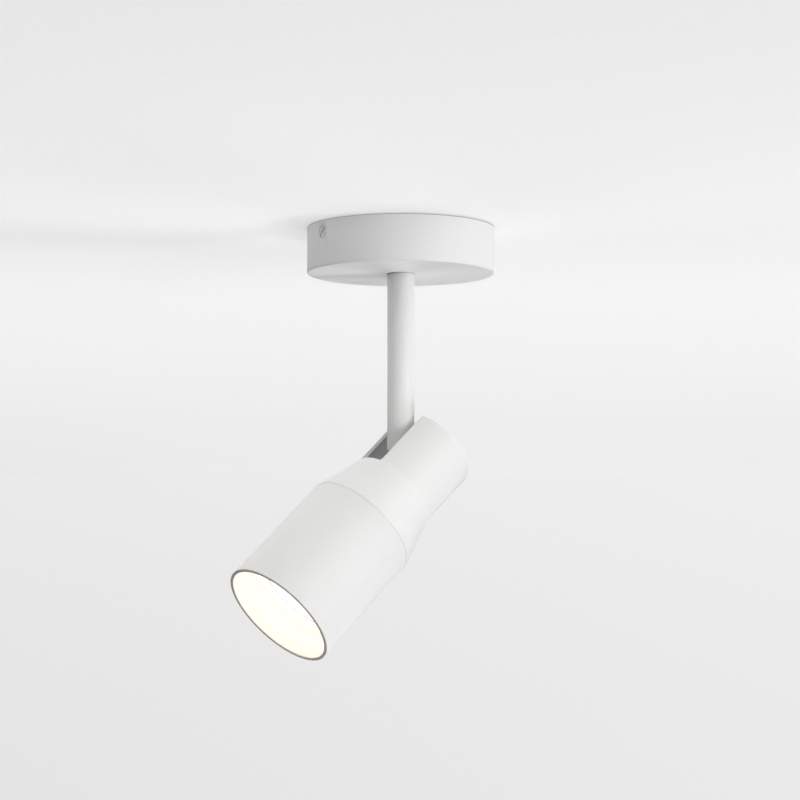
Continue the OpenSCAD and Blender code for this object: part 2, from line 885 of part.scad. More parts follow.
// Sprung contacts in the holder's chambers, under the lamp's pins
module lampholder_contacts() {
    color("goldenrod") along_head(holder_face - pin_len - contact_t)
        for (half = [0, 180])
            rotate(half)
                translate([pin_pitch / 2, 0, 0])
                    cylinder(r = pin_head_r, h = contact_t - seat_gap);
}

// Front cylinder of the head, screwed on the housing's spigot
module shade() {
    color("white") along_head(seam + seam_w)
        ring(shade_r, shade_r - head_wall, shade_front - seam - seam_w);
}

// Lamp's housing: a narrow neck that flares to a rim round the lens
module lamp_body() {
    flare_l = lamp_len - lamp_neck_l - lamp_rim_l;
    bowl_top = lamp_len - lens_t;
    color("whitesmoke") along_head(lamp_back) difference() {
        union() {
            cylinder(r = lamp_neck_r, h = lamp_neck_l);
            translate([0, 0, lamp_neck_l - eps])
                cylinder(r1 = lamp_neck_r, r2 = lamp_r, h = flare_l + eps);
            translate([0, 0, lamp_neck_l + flare_l - eps])
                cylinder(r = lamp_r, h = lamp_rim_l + eps);
        }
        translate([0, 0, bowl_top]) cylinder(r = lamp_r - lamp_wall, h = lens_t + cut);
        translate([0, 0, board_up])
            cylinder(
                r1 = lamp_neck_r - lamp_wall,
                r2 = lamp_r - 2 * lamp_wall,
                h = bowl_top - board_up + eps
            );
        for (half = [0, 180])
            rotate(half)
                translate([pin_pitch / 2, 0, -cut])
                    cylinder(r = pin_r + seat_gap, h = pin_root + seat_gap + cut);
    }
}

// Mushroom pins of the lamp
module lamp_pins() {
    color("silver") along_head(lamp_back - pin_len)
        for (half = [0, 180])
            rotate(half)
                translate([pin_pitch / 2, 0, 0]) {
                    cylinder(r = pin_head_r, h = pin_head_t);
                    cylinder(r = pin_r, h = pin_len + pin_root);
                }
}

// Round board with the light source, at the bottom of the lamp's bowl
module lamp_board() {
    color("lightyellow") along_head(lamp_back + board_up)
        cylinder(r = lamp_neck_r - lamp_wall - seat_gap, h = board_t);
}

// Front lens of the lamp
module lamp_lens() {
    color("lightyellow") along_head(lamp_front - lens_t + seat_gap)
        cylinder(r = lamp_r - lamp_wall - seat_gap, h = lens_t - seat_gap);
}

// Lead's free loop from the hinge block to the bulkhead
module flex_cable() {
    out = stem_r + body_gap;
    start = [
        0,
        -out * cos(tilt_angle) - exit_up * sin(tilt_angle),
        -out * sin(tilt_angle) + exit_up * cos(tilt_angle)
    ];
    leaving = [0, -cos(tilt_angle), -sin(tilt_angle)];
    target = [0, grommet_y, -holder_back - grommet_lip];
    ahead = start + 3.5 * cable_r * leaving;
    above = target + [0, 0, 7 * cable_r];
    color("whitesmoke") tilted() cable(curve(start, ahead, above, target), cable_r);
}

// The lead's two cores, from the grommet into the lampholder's side
module holder_leads() {
    color("sienna") tilted()
        for (side = [-1, 1]) {
            start = [side * core_spread, grommet_y, -holder_back - grommet_lip - seat_gap];
            mouth = [side * core_spread, -holder_w / 2, -holder_back - core_up];
            ahead = start - [0, 0, 2.5 * cable_r];
            loop = curve(start, ahead, mouth - [0, 2 * cable_r, 0], mouth - [0, 0.5, 0], 8);
            cable(concat(loop, [mouth + [0, core_depth - seat_gap, 0]]), core_r, 8);
        }
}

mounting_plate();
canopy();
canopy_screws();
terminal_block();
terminal_clamps();
terminal_screws();
block_screws();
earth_screw();
earth_washer();
swivel_bush();
bush_nuts();
wave_washer();
stop_post();
canopy_cable();
stem_tube();
stem_collar();
stop_pin();
hinge_block();
stem_cable();
rear_housing();
hinge_bracket();
bracket_screws();
pivot_bolt();
pivot_nut();
friction_washers();
disc_springs();
bulkhead();
bulkhead_screws();
cable_grommet();
lampholder();
lampholder_screws();
lampholder_contacts();
shade();
lamp_body();
lamp_pins();
lamp_board();
lamp_lens();
flex_cable();
holder_leads();
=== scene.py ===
import json
import math

import bmesh
import bpy
from mathutils import Matrix, Vector


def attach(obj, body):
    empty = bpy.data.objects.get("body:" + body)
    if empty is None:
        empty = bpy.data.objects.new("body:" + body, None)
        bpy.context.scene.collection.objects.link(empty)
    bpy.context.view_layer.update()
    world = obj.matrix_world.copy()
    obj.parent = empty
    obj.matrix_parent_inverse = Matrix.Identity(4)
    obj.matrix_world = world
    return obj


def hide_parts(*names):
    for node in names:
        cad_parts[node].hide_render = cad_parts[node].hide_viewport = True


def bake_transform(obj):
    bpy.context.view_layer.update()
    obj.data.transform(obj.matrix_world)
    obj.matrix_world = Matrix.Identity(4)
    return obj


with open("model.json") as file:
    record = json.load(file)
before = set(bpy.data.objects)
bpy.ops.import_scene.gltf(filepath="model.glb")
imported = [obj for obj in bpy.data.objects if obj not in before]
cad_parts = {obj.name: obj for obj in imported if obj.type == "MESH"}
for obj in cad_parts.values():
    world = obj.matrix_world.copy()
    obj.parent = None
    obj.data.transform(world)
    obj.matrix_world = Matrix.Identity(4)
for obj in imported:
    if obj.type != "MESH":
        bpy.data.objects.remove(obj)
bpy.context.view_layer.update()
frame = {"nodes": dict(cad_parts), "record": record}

nodes = frame["nodes"]
scene = bpy.context.scene
scene.view_settings.view_transform = "Standard"  # plain tones, so that white stays white

camera = dict(lens=108.947, sensor=36.0, place=(1.05435, -0.72680, -0.20464), pitch=5.0033,
              turn=55.44, nearest=0.01, farthest=50)

data = bpy.data.cameras.new("camera")
data.lens, data.sensor_width = camera["lens"], camera["sensor"]
data.clip_start, data.clip_end = camera["nearest"], camera["farthest"]
cameraObject = bpy.data.objects.new("camera", data)
scene.collection.objects.link(cameraObject)
cameraObject.location = camera["place"]
cameraObject.rotation_euler = (math.radians(90 + camera["pitch"]), 0, math.radians(camera["turn"]))
scene.camera = cameraObject
print("camera placed")


def linear(hexColour):  # sRGB hex to the linear colour that Blender takes
    parts = [int(hexColour[i:i + 2], 16) / 255 for i in (1, 3, 5)]
    return tuple(c / 12.92 if c <= 0.04045 else ((c + 0.055) / 1.055) ** 2.4
                 for c in parts) + (1.0,)


def addNode(tree, kind, inputs=None, **settings):  # a socket among the inputs becomes a link
    made = tree.nodes.new(kind)
    for name, value in settings.items():
        setattr(made, name, value)
    for name, value in (inputs or {}).items():
        if isinstance(value, bpy.types.NodeSocket):
            tree.links.new(value, made.inputs[name])
        else:
            made.inputs[name].default_value = value
    return made


def newMaterial(name):
    made = bpy.data.materials.new(name)
    made.use_nodes = True
    tree = made.node_tree
    shader = tree.nodes["Principled BSDF"]
    place = addNode(tree, "ShaderNodeTexCoord").outputs["Object"]
    return made, tree, shader, place


coatDetail = dict(patches=4.0, low=0.3, high=0.7, grains=2.0)


def surface(name, light, dark, roughness, spread, patch, grain, depth, metallic=0.0):
    # Two close tones and a spread of roughness in patches, and a grain in relief. The sizes of
    # the patches and the grain, and the grain's depth, are in metres
    made, tree, shader, place = newMaterial(name)
    patches = addNode(tree, "ShaderNodeTexNoise", {
        "Vector": place, "Scale": 1 / patch, "Detail": coatDetail["patches"]})
    tones = addNode(tree, "ShaderNodeMix", {
        0: patches.outputs["Fac"], 6: linear(light), 7: linear(dark)}, data_type="RGBA")
    tree.links.new(tones.outputs[2], shader.inputs["Base Color"])
    gloss = addNode(tree, "ShaderNodeMapRange", {
        "Value": patches.outputs["Fac"],
        "From Min": coatDetail["low"], "From Max": coatDetail["high"],
        "To Min": roughness - spread, "To Max": roughness + spread})
    tree.links.new(gloss.outputs["Result"], shader.inputs["Roughness"])
    grains = addNode(tree, "ShaderNodeTexNoise", {
        "Vector": place, "Scale": 1 / grain, "Detail": coatDetail["grains"]})
    relief = addNode(tree, "ShaderNodeBump", {
        "Height": grains.outputs["Fac"], "Distance": depth, "Strength": 1.0})
    tree.links.new(relief.outputs["Normal"], shader.inputs["Normal"])
    shader.inputs["Metallic"].default_value = metallic
    return made


# Polyester powder coat, sprayed and baked: matt white with the orange peel of melted powder,
# whose hollows of about 0.8 mm give a faint mottle
powderCoat = surface(
    "whitePowderCoat", "#F1F1F0", "#EDEDEB", 0.55, 0.05, 0.03, 0.0008, 0.00001)
# Electroplated zinc on steel, clear passivated: cool grey with a satin sheen and cloudy patches
# of 6 mm
zincPlate = surface(
    "zincPlatedSteel", "#C9CDD1", "#B4B8BC", 0.34, 0.08, 0.006, 0.0004, 0.000008, 1.0)
# Hardened spring steel, oiled black: dark and smooth, with rolling marks of 0.3 mm
springSteel = surface(
    "springSteel", "#77797D", "#5F6165", 0.36, 0.06, 0.004, 0.0003, 0.000006, 1.0)
# Die-cast zinc, as it leaves the mould: dull grey, with the cast skin's grain of 0.6 mm
castZinc = surface(
    "dieCastZinc", "#BDC0C2", "#A6A9AC", 0.5, 0.08, 0.004, 0.0006, 0.00002, 1.0)
# Turned brass, unlacquered: warm yellow, a little browner in patches where it was touched
turnedBrass = surface(
    "turnedBrass", "#D8B46A", "#C49A50", 0.28, 0.07, 0.003, 0.0003, 0.000006, 1.0)
# Nickel plate on the lamp's pins: bright and slightly warm, nearly without grain
nickelPlate = surface(
    "nickelPlate", "#D6D2CA", "#C6C2BA", 0.2, 0.05, 0.003, 0.0003, 0.000004, 1.0)
# Moulded polyamide of the terminal block: ivory, satin, with the mould's spark grain of 0.4 mm
ivoryPolyamide = surface(
    "ivoryPolyamide", "#E9E3D0", "#E1DAC5", 0.48, 0.05, 0.008, 0.0004, 0.00001)
# Extruded silicone sheath of the leads: soft white with a dusty skin
siliconeSheath = surface(
    "siliconeSheath", "#ECEAE5", "#E2DFD8", 0.62, 0.06, 0.005, 0.0005, 0.00001)
# Extruded PVC insulation of a single core: brown and satin
brownInsulation = surface(
    "brownInsulation", "#7C4C2D", "#6B3F24", 0.42, 0.05, 0.004, 0.0004, 0.000006)
# Vulcanised fibre: red brown, pressed from paper, with a felted face
vulcanisedFibre = surface(
    "vulcanisedFibre", "#9A4A36", "#7E3A2A", 0.75, 0.06, 0.0012, 0.0003, 0.00002)
# Moulded natural rubber of the grommet: black and dull
blackRubber = surface(
    "blackRubber", "#222223", "#1A1A1B", 0.8, 0.06, 0.003, 0.0004, 0.00001)
# Unglazed steatite of the lampholder, pressed and fired: cream, chalky, with pits of 0.5 mm
steatite = surface(
    "unglazedSteatite", "#EFE8D8", "#E4DAC6", 0.72, 0.05, 0.004, 0.0005, 0.00002)
# The white powder on the shade, a little whiter than the base coat: painted light that makes up for
# light the lamps give it too little of. A dull warm grey band on its front edge is painted shade
# round the lit mouth
shadeCoat = surface(
    "shadePowderCoat", "#F4F4F3", "#F0F0EE", 0.55, 0.05, 0.03, 0.0008, 0.00001)
# The same powder on the pressed canopy, a little whiter. A dark band painted along its top edge is
# painted shade, the shadow in the gap to the ceiling
canopyCoat = surface(
    "canopyPowderCoat", "#F8F7F7", "#F5F4F3", 0.55, 0.05, 0.03, 0.0008, 0.00001)
# The same powder on the stem's drawn tube and the turned housing, where it lies smoother. It is
# whiter too, painted light that makes up for light the lamps give these parts too little of. A dark
# band painted round the stem's top is painted shade
smoothCoat = surface(
    "smoothPowderCoat", "#F8F8F7", "#F5F5F3", 0.45, 0.05, 0.03, 0.0008, 0.000006)
# Moulded thermoplastic of the lamp's housing: white and glossy, with a faint flow mottle
lampPlastic = surface(
    "glossyLampPlastic", "#F0F0EC", "#E9E9E4", 0.24, 0.05, 0.01, 0.0008, 0.000004)
print("materials made")

# The head's own frame: x along the hinge pin and z forward along the shade's axis
head = dict(pivotDrop=0.1364, tilt=47.3, lensAt=0.0846)


def alongHead(s):  # the place on the head's axis at a distance s in front of the hinge pin
    return (Matrix.Translation((0, 0, -head["pivotDrop"]))
            @ Matrix.Rotation(-math.radians(head["tilt"]), 4, "X")
            @ Matrix.Translation((0, 0, -s)) @ Matrix.Rotation(math.pi, 4, "X"))


lamp = dict(glow=1.25, ringGlow=1.0, lensR=0.0235, ringReach=0.03055, watts=0.006,
            colour="#FFF4DE", lightLift=0.0006, roughness=0.35, ior=1.585)
lensCentre = tuple(alongHead(head["lensAt"]).translation)


def litMaterial(name, centre, edge, reach, strength):
    # Moulded polycarbonate that diffuses the light of warm white diodes behind it: brightest in
    # the middle, and a little darker and warmer towards the edge
    made, tree, shader, place = newMaterial(name)
    moved = addNode(tree, "ShaderNodeVectorMath", {0: place, 1: lensCentre}, operation="SUBTRACT")
    away = addNode(tree, "ShaderNodeVectorMath", {0: moved.outputs[0]}, operation="LENGTH")
    fade = addNode(tree, "ShaderNodeMapRange", {
        "Value": away.outputs["Value"], "From Min": 0.0, "From Max": reach,
        "To Min": 0.0, "To Max": 1.0}, interpolation_type="SMOOTHSTEP")
    glow = addNode(tree, "ShaderNodeMix", {
        0: fade.outputs["Result"], 6: linear(centre), 7: linear(edge)}, data_type="RGBA")
    tree.links.new(glow.outputs[2], shader.inputs["Emission Color"])
    tree.links.new(glow.outputs[2], shader.inputs["Base Color"])
    shader.inputs["Emission Strength"].default_value = strength
    shader.inputs["Roughness"].default_value = lamp["roughness"]
    shader.inputs["IOR"].default_value = lamp["ior"]
    return made


litLens = litMaterial("litPolycarbonateLens", "#FFFBF2", "#FFF3DC", lamp["lensR"], lamp["glow"])
litBoard = litMaterial("litDiodeBoard", "#FFF6E0", "#FFEFD0", lamp["lensR"], lamp["glow"])
# White translucent ring of the same plastic. It glows by itself: painted light for the light from
# the lamp's edge that shines through it
litRing = litMaterial(
    "litTranslucentRing", "#FFFAEE", "#FFF3DC", lamp["ringReach"], lamp["ringGlow"])

# The shade's front edge: painted shade, a dull and warm grey band round the mouth
rim = dict(atS=0.1033, band=0.00045, blur=0.00006, colour="#B9B3AC", roughness=0.6)
# The canopy's top edge: painted shade, a dark band for the shadow in the gap to the plaster, which
# draws a line against it
canopyTop = dict(band=0.0008, blur=0.0002, colour="#6E6B68", roughness=0.7)
# The stem's top: painted shade, a dark band for the shadow in the gap where it turns in the
# canopy's hole
stemTop = dict(canopyH=0.0245, band=0.0007, blur=0.0001, colour="#4A4846", roughness=0.5)


def paintEdgeShade(made, origin, direction, start, d):
    # Paints shade onto a coat: another colour and roughness past the start, counted along the
    # direction
    tree = made.node_tree
    shader = tree.nodes["Principled BSDF"]
    place = addNode(tree, "ShaderNodeTexCoord").outputs["Object"]
    moved = addNode(tree, "ShaderNodeVectorMath", {0: place, 1: tuple(origin)},
                    operation="SUBTRACT")
    along = addNode(tree, "ShaderNodeVectorMath", {0: moved.outputs[0], 1: tuple(direction)},
                    operation="DOT_PRODUCT")
    mask = addNode(tree, "ShaderNodeMapRange", {
        "Value": along.outputs["Value"],
        "From Min": start - d["blur"], "From Max": start + d["blur"]})
    # the painted shade's colour and roughness
    paintedShade = {"Base Color": linear(d["colour"]), "Roughness": (d["roughness"],) * 3 + (1,)}
    for socket, value in paintedShade.items():
        coat = shader.inputs[socket].links[0].from_socket
        mixed = addNode(tree, "ShaderNodeMix", {0: mask.outputs["Result"], 6: coat, 7: value},
                        data_type="RGBA")
        tree.links.new(mixed.outputs[2], shader.inputs[socket])


# Painted shade: dark bands on the shade's front edge, the canopy's top edge and the stem's top
paintEdgeShade(shadeCoat, (0, 0, -head["pivotDrop"]), alongHead(0).to_3x3() @ Vector((0, 0, 1)),
         rim["atS"] - rim["band"], rim)
paintEdgeShade(canopyCoat, (0, 0, 0), (0, 0, 1), -canopyTop["band"], canopyTop)
paintEdgeShade(smoothCoat, (0, 0, 0), (0, 0, 1), -stemTop["canopyH"] - stemTop["band"], stemTop)

finishes = {
    "white_powder_coat": powderCoat, "zinc_plated_steel": zincPlate, "nickel_plate": nickelPlate,
    "spring_steel": springSteel, "die_cast_zinc": castZinc, "brass": turnedBrass,
    "ivory_plastic": ivoryPolyamide, "white_sheath": siliconeSheath,
    "brown_insulation": brownInsulation, "fibre": vulcanisedFibre, "black_rubber": blackRubber,
    "ceramic": steatite, "lamp_housing": lampPlastic, "lamp_glow": litLens,
}
ownFinishes = dict(lamp_board=litBoard, shade=shadeCoat, stem_tube=smoothCoat,
                   rear_housing=smoothCoat, canopy=canopyCoat)
for part in frame["record"]["subparts"]:
    node = nodes[part["node"]]
    node.data.materials.clear()
    node.data.materials.append(ownFinishes.get(part["node"], finishes[part["material_slot"]]))
print("finishes given to the", len(nodes), "CAD nodes")

# Sheet, tube and turned edges are broken by a small round, as a tumbled or coated edge is
edges = dict(canopy=0.0003, stem_tube=0.0003, rear_housing=0.0002, shade=0.00012,
             hinge_bracket=0.0003, hinge_block=0.0003, mounting_plate=0.0002, lamp_body=0.0003,
             swivel_bush=0.0003, terminal_block=0.0004, pivot_bolt=0.0003, pivot_nut=0.0003,
             canopy_screws=0.0002)
sharpAngle = math.radians(35)
mergeDistance = 1e-6
for name, width in edges.items():
    weld = nodes[name].modifiers.new("weld", "WELD")
    weld.merge_threshold = mergeDistance
    bevel = nodes[name].modifiers.new("edge", "BEVEL")
    bevel.width, bevel.segments, bevel.limit_method = width, 2, "ANGLE"
    bevel.angle_limit, bevel.harden_normals = sharpAngle, True
print("edges rounded")


def meshObject(name, verts, faces, material=None, lines=()):
    mesh = bpy.data.meshes.new(name)
    mesh.from_pydata(verts, lines, faces)
    made = bpy.data.objects.new(name, mesh)
    scene.collection.objects.link(made)
    if material:
        mesh.materials.append(material)
    return made


# Pieces that repeat or follow a route are made by Geometry Nodes and turned into plain meshes
def newTree(name, sockets):
    tree = bpy.data.node_groups.new(name, "GeometryNodeTree")
    tree.interface.new_socket("Geometry", in_out="INPUT", socket_type="NodeSocketGeometry")
    for socket, kind in sockets.items():
        tree.interface.new_socket(socket, in_out="INPUT", socket_type="NodeSocket" + kind)
    tree.interface.new_socket("Geometry", in_out="OUTPUT", socket_type="NodeSocketGeometry")
    return tree, tree.nodes.new("NodeGroupInput").outputs


def endTree(tree, geometry, given):
    single = addNode(tree, "GeometryNodeRealizeInstances", {"Geometry": geometry})
    painted = addNode(tree, "GeometryNodeSetMaterial", {
        "Geometry": single.outputs["Geometry"], "Material": given["Material"]})
    end = tree.nodes.new("NodeGroupOutput")
    tree.links.new(painted.outputs["Geometry"], end.inputs["Geometry"])


def cleaned(made, place=None):  # merged, closed and with its normals outward
    if place:
        made.data.transform(place)
    bm = bmesh.new()
    bm.from_mesh(made.data)
    bmesh.ops.remove_doubles(bm, verts=bm.verts, dist=mergeDistance)
    bmesh.ops.recalc_face_normals(bm, faces=bm.faces)
    bm.to_mesh(made.data)
    bm.free()


def grown(made, tree, values, place=None):  # runs the tree and keeps its result as a plain mesh
    modifier = made.modifiers.new(tree.name, "NODES")
    modifier.node_group = tree
    for item in tree.interface.items_tree:
        if item.in_out == "INPUT" and item.name in values:
            modifier[item.identifier] = values[item.name]
    bpy.context.view_layer.update()
    evaluated = made.evaluated_get(bpy.context.evaluated_depsgraph_get())
    result = bpy.data.meshes.new_from_object(evaluated)
    made.modifiers.remove(modifier)
    made.data = result
    cleaned(made, place)


def smoothed(made):  # smooth shading between sharp edges
    for face in made.data.polygons:
        face.use_smooth = True
    made.data.set_sharp_from_angle(angle=sharpAngle)
    return made


def bezier(a, b, c, d, steps):  # points of a cubic curve, as the solids of the leads follow
    points = []
    for i in range(steps + 1):
        t = i / steps
        u = 1 - t
        points.append(u ** 3 * a + 3 * u * u * t * b + 3 * u * t * t * c + t ** 3 * d)
    return points


# Silicone-sheathed leads. Each follows the route of the solid that it stands for. A pull is how
# far a curve keeps the direction of its end
leads = dict(radius=0.002, sides=20, coreRadius=0.0008, coreSpread=0.0011)
canopyRoute = dict(blockY=0.01685, clampZ=-0.0075, overY=0.0078, overZ=-0.004, topZ=-0.0086,
                   blockPull=0.004, overPull=0.0046, dip=0.0006, lap=0.0002, climbSteps=16,
                   dropSteps=20)
stemRoute = dict(passageZ=-0.1254, bend=0.0022, bendSteps=12, straightEnd=0.01, stemR=0.0072)
flexRoute = dict(outAt=0.00755, exitUp=0.011, grommetY=-0.0145, grommetS=0.0223, exitPull=0.007,
                 grommetPull=0.014, steps=40)
coreRoute = dict(gap=0.00005, holderY=-0.0085, holderS=0.0275, grommetPull=0.005,
                 holderPull=0.004, turn=0.0005, deep=0.00145, steps=20)


def leadTree():
    tree, given = newTree("roundLead", {"Radius": "Float", "Sides": "Int", "Material": "Material"})
    route = addNode(tree, "GeometryNodeMeshToCurve", {"Mesh": given["Geometry"]})
    circle = addNode(tree, "GeometryNodeCurvePrimitiveCircle", {
        "Resolution": given["Sides"], "Radius": given["Radius"]})
    tube = addNode(tree, "GeometryNodeCurveToMesh", {
        "Curve": route.outputs["Curve"], "Profile Curve": circle.outputs["Curve"],
        "Fill Caps": True})
    endTree(tree, tube.outputs["Mesh"], given)
    return tree


roundLead = leadTree()


def makeLead(name, routes, radius, material):
    verts, steps = [], []
    for route in routes:
        steps += [(len(verts) + i, len(verts) + i + 1) for i in range(len(route) - 1)]
        verts += [tuple(point) for point in route]
    made = meshObject(name, verts, [], lines=steps)
    grown(made, roundLead, {"Radius": radius, "Sides": leads["sides"], "Material": material})
    return smoothed(made)


def makeLeads():
    d = canopyRoute
    start, over = Vector((0, d["blockY"], d["clampZ"])), Vector((0, d["overY"], d["overZ"]))
    pull = Vector((0, d["blockPull"], 0))
    climb = bezier(start, start - pull, over + pull, over, d["climbSteps"])
    drop = bezier(over, over - Vector((0, d["overPull"], 0)), Vector((0, 0, d["overZ"] - d["dip"])),
                  Vector((0, 0, d["lap"] + d["topZ"])), d["dropSteps"])
    made = makeLead("canopyLead", [climb + drop[1:]], leads["radius"], siliconeSheath)
    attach(made, "ceiling_base")
    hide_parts("canopy_cable")

    d = stemRoute
    z, bend = d["passageZ"], d["bend"]
    route = [Vector((0, 0, canopyRoute["topZ"])), Vector((0, 0, z + d["straightEnd"]))]
    for i in range(d["bendSteps"] + 1):
        angle = math.pi / 2 * i / d["bendSteps"]
        route.append(Vector((0, bend * (math.cos(angle) - 1), z + bend * (1 - math.sin(angle)))))
    route.append(Vector((0, -d["stemR"], z)))
    made = makeLead("stemLead", [route], leads["radius"], siliconeSheath)
    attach(made, "stem")
    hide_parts("stem_cable")

    d = flexRoute
    tilt = math.radians(head["tilt"])
    leaving = Vector((0, -math.cos(tilt), -math.sin(tilt)))
    rising = Vector((0, -math.sin(tilt), math.cos(tilt)))
    start = d["outAt"] * leaving + d["exitUp"] * rising
    target = Vector((0, d["grommetY"], -d["grommetS"]))
    route = bezier(start, start + d["exitPull"] * leaving,
                   target + Vector((0, 0, d["grommetPull"])), target, d["steps"])
    hinge = Matrix.Translation((0, 0, -head["pivotDrop"])) @ Matrix.Rotation(-tilt, 4, "X")
    route = [hinge @ point for point in route]
    made = makeLead("flexLead", [route], leads["radius"], siliconeSheath)
    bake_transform(made)
    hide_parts("flex_cable")

    d = coreRoute
    cores = []
    for side in (-1, 1):
        x = side * leads["coreSpread"]
        start = Vector((x, flexRoute["grommetY"], -flexRoute["grommetS"] - d["gap"]))
        mouth = Vector((x, d["holderY"], -d["holderS"]))
        route = bezier(start, start - Vector((0, 0, d["grommetPull"])),
                       mouth - Vector((0, d["holderPull"], 0)),
                       mouth - Vector((0, d["turn"], 0)), d["steps"])
        route.append(mouth + Vector((0, d["deep"], 0)))
        cores.append([hinge @ point for point in route])
    made = makeLead("holderCores", cores, leads["coreRadius"], brownInsulation)
    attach(made, "head")
    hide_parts("holder_leads")


makeLeads()
print("leads made")

# Cooling ribs cast on the lamp's flare, ending under its rim. A rib's crest is thinner than its
# foot, and rises and falls as a part of a sine wave
ribs = dict(count=20, thick=0.0009, crestShare=0.35, high=0.0016, backS=0.0125, frontS=0.0415,
            flareStart=0.012, flareLong=0.030, neckR=0.011, rimR=0.025, rimGap=0.0001,
            waveStart=0.25, sections=8, lampS=0.03755, sink=0.0006)


def makeRibs():
    d = ribs
    tree, given = newTree("ribsRound", {"Count": "Int", "Material": "Material"})
    points = addNode(tree, "GeometryNodeMeshLine", {"Count": given["Count"], "Offset": (0, 0, 0)})
    index = addNode(tree, "GeometryNodeInputIndex").outputs["Index"]
    share = addNode(tree, "ShaderNodeMath", {0: index, 1: given["Count"]}, operation="DIVIDE")
    angle = addNode(tree, "ShaderNodeMath", {0: share.outputs[0], 1: 2 * math.pi},
                    operation="MULTIPLY")
    turned = addNode(tree, "ShaderNodeCombineXYZ", {"Z": angle.outputs[0]})
    copies = addNode(tree, "GeometryNodeInstanceOnPoints", {
        "Points": points.outputs["Mesh"], "Instance": given["Geometry"],
        "Rotation": turned.outputs["Vector"]})
    endTree(tree, copies.outputs["Instances"], given)

    slope = (d["rimR"] - d["neckR"]) / d["flareLong"]
    verts = []
    for i in range(d["sections"] + 1):
        part = i / d["sections"]
        s = d["backS"] + (d["frontS"] - d["backS"]) * part
        flareR = d["neckR"] + slope * (s - d["flareStart"])
        wave = math.sin(math.pi * min(1, d["waveStart"] + part))
        crest = max(min(flareR + d["high"] * wave, d["rimR"] - d["rimGap"]), flareR)
        for side in (-1, 1):
            verts.append((flareR - d["sink"], side * d["thick"] / 2, s))
            verts.append((crest, side * d["thick"] * d["crestShare"], s))
    faces = []
    for a in range(0, 4 * d["sections"], 4):
        b = a + 4
        faces += [(a, a + 1, b + 1, b), (a + 1, a + 3, b + 3, b + 1),
                  (a + 3, a + 2, b + 2, b + 3), (a + 2, a, b, b + 2)]
    end = 4 * d["sections"]
    faces += [(0, 2, 3, 1), (end, end + 1, end + 3, end + 2)]
    made = meshObject("lampRibs", verts, faces)
    grown(made, tree, {"Count": d["count"], "Material": lampPlastic}, alongHead(d["lampS"]))
    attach(made, "head")


makeRibs()

# Honeycomb of low domes moulded into the lens, which spreads the light of the diodes. A dome has
# a foot as wide as the pitch, a shoulder and a flat crown, in shares of its half width and height
facets = dict(pitch=0.0024, high=0.0004, radius=0.0222, rows=21, lensS=0.0845, sink=0.0001,
              shoulder=0.72, shoulderHigh=0.6, crown=0.3)


def makeFacets():
    d = facets
    tree, given = newTree("honeycomb", {
        "Pitch": "Float", "Radius": "Float", "Rows": "Int", "Material": "Material"})
    rowGap = addNode(tree, "ShaderNodeMath", {0: given["Pitch"], 1: math.sqrt(3) / 2},
                     operation="MULTIPLY")
    index = addNode(tree, "GeometryNodeInputIndex").outputs["Index"]
    total = addNode(tree, "ShaderNodeMath", {0: given["Rows"], 1: given["Rows"]},
                    operation="MULTIPLY")
    points = addNode(tree, "GeometryNodeMeshLine", {
        "Count": total.outputs[0], "Offset": (0, 0, 0)})
    rowsPassed = addNode(tree, "ShaderNodeMath", {0: index, 1: given["Rows"]}, operation="DIVIDE")
    row = addNode(tree, "ShaderNodeMath", {0: rowsPassed.outputs[0]}, operation="FLOOR")
    column = addNode(tree, "ShaderNodeMath", {0: index, 1: given["Rows"]}, operation="MODULO")
    back = addNode(tree, "ShaderNodeMath", {0: given["Rows"], 1: -0.5, 2: 0.5},
                   operation="MULTIPLY_ADD")  # half the rows, back to the middle
    odd = addNode(tree, "ShaderNodeMath", {0: row.outputs[0], 1: 2.0}, operation="MODULO")
    even = addNode(tree, "ShaderNodeMath", {0: column.outputs[0], 1: back.outputs[0]},
                   operation="ADD")
    staggered = addNode(tree, "ShaderNodeMath", {
        0: odd.outputs[0], 1: 0.5, 2: even.outputs[0]}, operation="MULTIPLY_ADD")
    x = addNode(tree, "ShaderNodeMath", {0: staggered.outputs[0], 1: given["Pitch"]},
                operation="MULTIPLY")
    rowUp = addNode(tree, "ShaderNodeMath", {0: row.outputs[0], 1: back.outputs[0]},
                    operation="ADD")
    y = addNode(tree, "ShaderNodeMath", {0: rowUp.outputs[0], 1: rowGap.outputs[0]},
                operation="MULTIPLY")
    spot = addNode(tree, "ShaderNodeCombineXYZ", {"X": x.outputs[0], "Y": y.outputs[0]})
    away = addNode(tree, "ShaderNodeVectorMath", {0: spot.outputs[0]}, operation="LENGTH")
    inside = addNode(tree, "ShaderNodeMath", {0: away.outputs["Value"], 1: given["Radius"]},
                     operation="LESS_THAN")
    laid = addNode(tree, "GeometryNodeSetPosition", {
        "Geometry": points.outputs["Mesh"], "Position": spot.outputs[0]})
    copies = addNode(tree, "GeometryNodeInstanceOnPoints", {
        "Points": laid.outputs["Geometry"], "Selection": inside.outputs[0],
        "Instance": given["Geometry"]})
    endTree(tree, copies.outputs["Instances"], given)

    half = d["pitch"] / math.sqrt(3)
    verts = []
    for share, z in ((1.0, -d["sink"]), (d["shoulder"], d["shoulderHigh"] * d["high"]),
                     (d["crown"], d["high"])):
        for i in range(6):
            angle = math.pi / 3 * (i + 0.5)
            verts.append((half * share * math.cos(angle), half * share * math.sin(angle), z))
    faces = [(a * 6 + i, a * 6 + (i + 1) % 6, a * 6 + 6 + (i + 1) % 6, a * 6 + 6 + i)
             for a in range(2) for i in range(6)]
    faces += [tuple(range(12, 18)), tuple(range(5, -1, -1))]
    made = meshObject("lensFacets", verts, faces)
    grown(made, tree, {"Pitch": d["pitch"], "Radius": d["radius"], "Rows": d["rows"],
                       "Material": litLens}, alongHead(d["lensS"]))
    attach(made, "head")


makeFacets()

ringSides = 96


